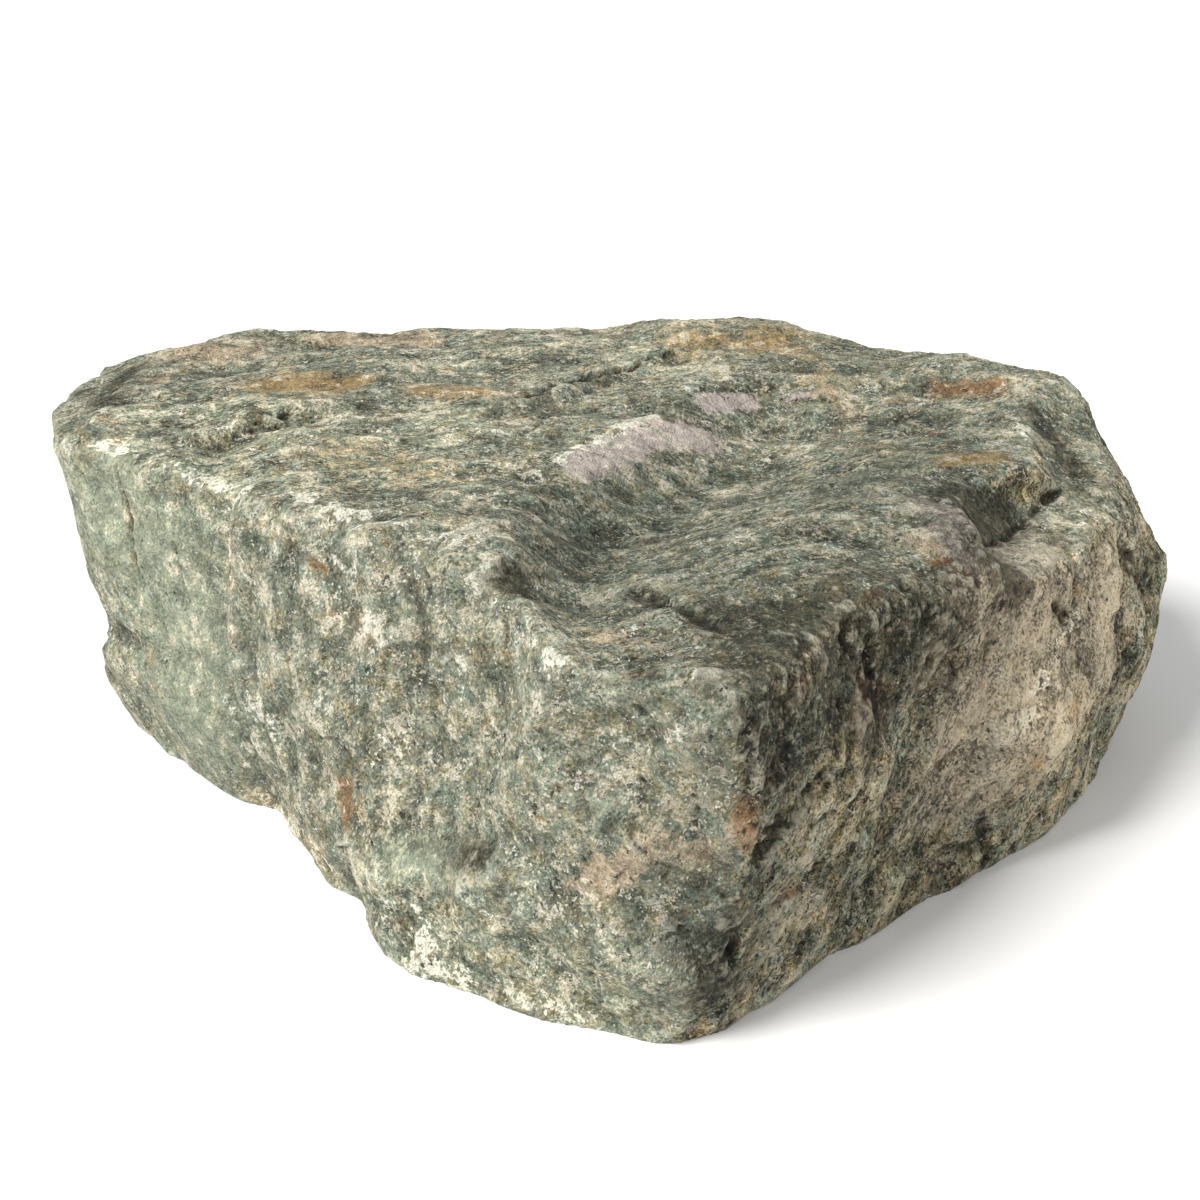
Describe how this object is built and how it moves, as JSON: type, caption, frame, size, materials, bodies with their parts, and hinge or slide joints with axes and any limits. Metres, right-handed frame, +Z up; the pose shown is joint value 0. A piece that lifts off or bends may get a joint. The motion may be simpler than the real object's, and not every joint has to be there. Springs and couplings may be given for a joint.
{
  "type": "rough rock",
  "caption": "Rough broken block of green foliated schist: a flat plateau on steep broken sides, a proud front corner, a stepped left end, a lower right shoulder and a flat base to lie on.",
  "frame": {"origin": "middle of the rock's box, at the level of the flat base that it lies on", "axes": "+X along the rock's length, towards the low shoulder; +Y towards its back; +Z up, away from the base"},
  "size_m": [0.3892, 0.2906, 0.1161],
  "materials": {
    "schist": "rough broken stone, dry and matt, with pale mineral flecks and rust stains"
  },
  "bodies": {
    "root": {"rock": "schist"}
  },
  "joints": []
}
